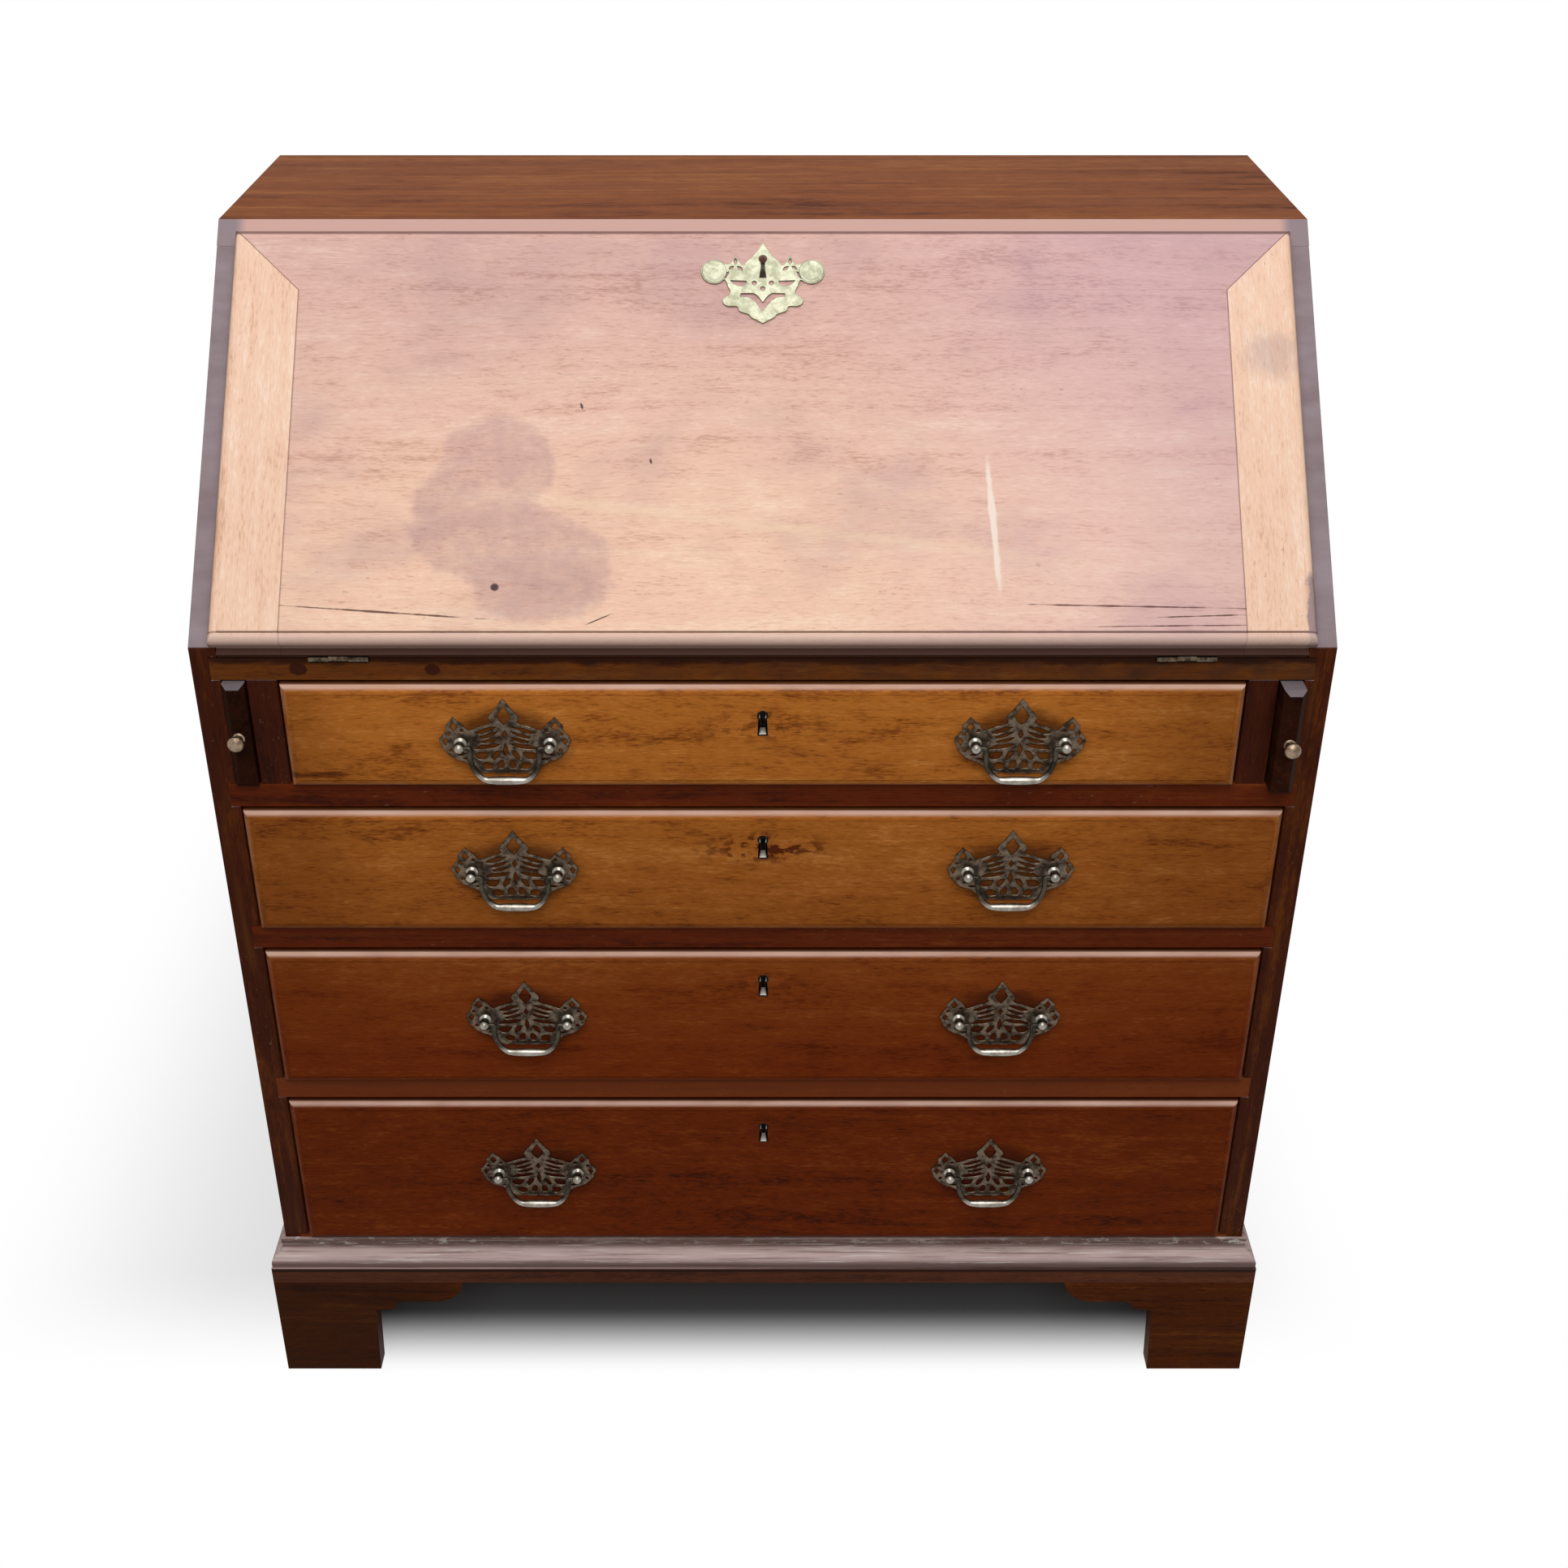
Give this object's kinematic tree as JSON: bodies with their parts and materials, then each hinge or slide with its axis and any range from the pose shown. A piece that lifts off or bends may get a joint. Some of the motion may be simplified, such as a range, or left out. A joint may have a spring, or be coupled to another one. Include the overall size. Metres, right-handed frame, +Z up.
{
  "type": "slant-front bureau",
  "caption": "Slant-front writing bureau of mahogany: a hinged fall over long graduated drawers on bracket feet, with sliding lopers, pierced brass handles and a fitted inside.",
  "frame": {"origin": "middle of the footprint on the floor, from the drawn loper's knob to the back and from side to side", "axes": "+X to the right seen from the front, +Y to the back, +Z up; the drawers and the fall face -Y"},
  "size_m": [0.943, 0.534, 1.06],
  "materials": {
    "case_mahogany": "old polished dark mahogany with wear at the edges",
    "drawer_mahogany": "polished mahogany, golden brown above and darker below",
    "faded_mahogany": "sun-faded pale mahogany with a dry polish and an ink stain",
    "pale_mahogany": "sun-faded pale mahogany",
    "interior_mahogany": "mahogany with a dull old finish",
    "oak": "unfinished oak, browned with age",
    "deal": "rough unfinished pine",
    "aged_brass": "dark patinated brass, rubbed bright where it is handled",
    "bright_brass": "pale worn brass",
    "lock_steel": "dull steel"
  },
  "bodies": {
    "carcass": {"left_side": "case_mahogany", "right_side": "case_mahogany", "top_board": "case_mahogany", "back_boards": "deal", "bottom_board": "case_mahogany", "writing_bed": "oak", "hinge_rail": "case_mahogany", "loper_partitions": "case_mahogany", "drawer_rails": "case_mahogany", "dustboards": "oak", "base_moulding": "case_mahogany", "front_bracket_feet": "case_mahogany", "rear_bracket_feet": "case_mahogany", "pigeonhole_partitions": "interior_mahogany", "pigeonhole_shelf": "interior_mahogany", "pigeonhole_valances": "interior_mahogany", "case_hinge_leaves": "aged_brass"},
    "fall": {"fall_panel": "faded_mahogany", "fall_top_rail": "faded_mahogany", "fall_cleats": "pale_mahogany", "fall_escutcheon": "bright_brass", "fall_lock": "bright_brass", "fall_hinge_leaves": "aged_brass"},
    "fall_bolt": {"fall_lock_bolt": "lock_steel"},
    "left_loper": {"left_loper": "case_mahogany", "left_loper_knob": "aged_brass"},
    "right_loper": {"right_loper": "case_mahogany", "right_loper_knob": "aged_brass"},
    "drawer_1": {"drawer_1_front": "drawer_mahogany", "drawer_1_box": "oak", "drawer_1_handle_plates": "aged_brass", "drawer_1_lock": "bright_brass"},
    "drawer_1_bolt": {"drawer_1_lock_bolt": "lock_steel"},
    "drawer_1_left_bail": {"drawer_1_left_bail": "aged_brass"},
    "drawer_1_right_bail": {"drawer_1_right_bail": "aged_brass"},
    "drawer_2": {"drawer_2_front": "drawer_mahogany", "drawer_2_box": "oak", "drawer_2_handle_plates": "aged_brass", "drawer_2_lock": "bright_brass"},
    "drawer_2_bolt": {"drawer_2_lock_bolt": "lock_steel"},
    "drawer_2_left_bail": {"drawer_2_left_bail": "aged_brass"},
    "drawer_2_right_bail": {"drawer_2_right_bail": "aged_brass"},
    "drawer_3": {"drawer_3_front": "drawer_mahogany", "drawer_3_box": "oak", "drawer_3_handle_plates": "aged_brass", "drawer_3_lock": "bright_brass"},
    "drawer_3_bolt": {"drawer_3_lock_bolt": "lock_steel"},
    "drawer_3_left_bail": {"drawer_3_left_bail": "aged_brass"},
    "drawer_3_right_bail": {"drawer_3_right_bail": "aged_brass"},
    "drawer_4": {"drawer_4_front": "drawer_mahogany", "drawer_4_box": "oak", "drawer_4_handle_plates": "aged_brass", "drawer_4_lock": "bright_brass"},
    "drawer_4_bolt": {"drawer_4_lock_bolt": "lock_steel"},
    "drawer_4_left_bail": {"drawer_4_left_bail": "aged_brass"},
    "drawer_4_right_bail": {"drawer_4_right_bail": "aged_brass"},
    "inner_drawer_1": {"inner_drawer_1": "interior_mahogany"},
    "inner_drawer_2": {"inner_drawer_2": "interior_mahogany"},
    "inner_drawer_3": {"inner_drawer_3": "interior_mahogany"},
    "inner_drawer_4": {"inner_drawer_4": "interior_mahogany"}
  },
  "joints": [
    {"name": "fall_hinge", "type": "hinge", "parent": "carcass", "child": "fall", "pos_m": [0, -0.233, 0.779], "axis": [1, 0, 0], "range_deg": [0, 133.8]},
    {"name": "fall_bolt_throw", "type": "slide", "parent": "fall", "child": "fall_bolt", "axis": [0, 0.6921, 0.7218], "range_m": [0, 0.008]},
    {"name": "left_loper_slide", "type": "slide", "parent": "carcass", "child": "left_loper", "axis": [0, -1, 0], "range_m": [0, 0.28]},
    {"name": "right_loper_slide", "type": "slide", "parent": "carcass", "child": "right_loper", "axis": [0, -1, 0], "range_m": [-0.011, 0.269]},
    {"name": "drawer_1_slide", "type": "slide", "parent": "carcass", "child": "drawer_1", "axis": [0, -1, 0], "range_m": [0, 0.39]},
    {"name": "drawer_1_bolt_throw", "type": "slide", "parent": "drawer_1", "child": "drawer_1_bolt", "axis": [0, 0, 1], "range_m": [0, 0.008]},
    {"name": "drawer_1_left_bail_hinge", "type": "hinge", "parent": "drawer_1", "child": "drawer_1_left_bail", "pos_m": [-0.209, -0.2513, 0.7065], "axis": [-1, 0, 0], "range_deg": [-8, 155]},
    {"name": "drawer_1_right_bail_hinge", "type": "hinge", "parent": "drawer_1", "child": "drawer_1_right_bail", "pos_m": [0.209, -0.2513, 0.7065], "axis": [-1, 0, 0], "range_deg": [-8, 155]},
    {"name": "drawer_2_slide", "type": "slide", "parent": "carcass", "child": "drawer_2", "axis": [0, -1, 0], "range_m": [0, 0.39]},
    {"name": "drawer_2_bolt_throw", "type": "slide", "parent": "drawer_2", "child": "drawer_2_bolt", "axis": [0, 0, 1], "range_m": [0, 0.008]},
    {"name": "drawer_2_left_bail_hinge", "type": "hinge", "parent": "drawer_2", "child": "drawer_2_left_bail", "pos_m": [-0.209, -0.2513, 0.5825], "axis": [-1, 0, 0], "range_deg": [-8, 155]},
    {"name": "drawer_2_right_bail_hinge", "type": "hinge", "parent": "drawer_2", "child": "drawer_2_right_bail", "pos_m": [0.209, -0.2513, 0.5825], "axis": [-1, 0, 0], "range_deg": [-8, 155]},
    {"name": "drawer_3_slide", "type": "slide", "parent": "carcass", "child": "drawer_3", "axis": [0, -1, 0], "range_m": [0, 0.39]},
    {"name": "drawer_3_bolt_throw", "type": "slide", "parent": "drawer_3", "child": "drawer_3_bolt", "axis": [0, 0, 1], "range_m": [0, 0.008]},
    {"name": "drawer_3_left_bail_hinge", "type": "hinge", "parent": "drawer_3", "child": "drawer_3_left_bail", "pos_m": [-0.209, -0.2513, 0.428], "axis": [-1, 0, 0], "range_deg": [-8, 155]},
    {"name": "drawer_3_right_bail_hinge", "type": "hinge", "parent": "drawer_3", "child": "drawer_3_right_bail", "pos_m": [0.209, -0.2513, 0.428], "axis": [-1, 0, 0], "range_deg": [-8, 155]},
    {"name": "drawer_4_slide", "type": "slide", "parent": "carcass", "child": "drawer_4", "axis": [0, -1, 0], "range_m": [0, 0.39]},
    {"name": "drawer_4_bolt_throw", "type": "slide", "parent": "drawer_4", "child": "drawer_4_bolt", "axis": [0, 0, 1], "range_m": [0, 0.008]},
    {"name": "drawer_4_left_bail_hinge", "type": "hinge", "parent": "drawer_4", "child": "drawer_4_left_bail", "pos_m": [-0.209, -0.2513, 0.2505], "axis": [-1, 0, 0], "range_deg": [-8, 155]},
    {"name": "drawer_4_right_bail_hinge", "type": "hinge", "parent": "drawer_4", "child": "drawer_4_right_bail", "pos_m": [0.209, -0.2513, 0.2505], "axis": [-1, 0, 0], "range_deg": [-8, 155]},
    {"name": "inner_drawer_1_slide", "type": "slide", "parent": "carcass", "child": "inner_drawer_1", "axis": [0, -1, 0], "range_m": [0, 0.15]},
    {"name": "inner_drawer_2_slide", "type": "slide", "parent": "carcass", "child": "inner_drawer_2", "axis": [0, -1, 0], "range_m": [0, 0.15]},
    {"name": "inner_drawer_3_slide", "type": "slide", "parent": "carcass", "child": "inner_drawer_3", "axis": [0, -1, 0], "range_m": [0, 0.15]},
    {"name": "inner_drawer_4_slide", "type": "slide", "parent": "carcass", "child": "inner_drawer_4", "axis": [0, -1, 0], "range_m": [0, 0.15]}
  ]
}
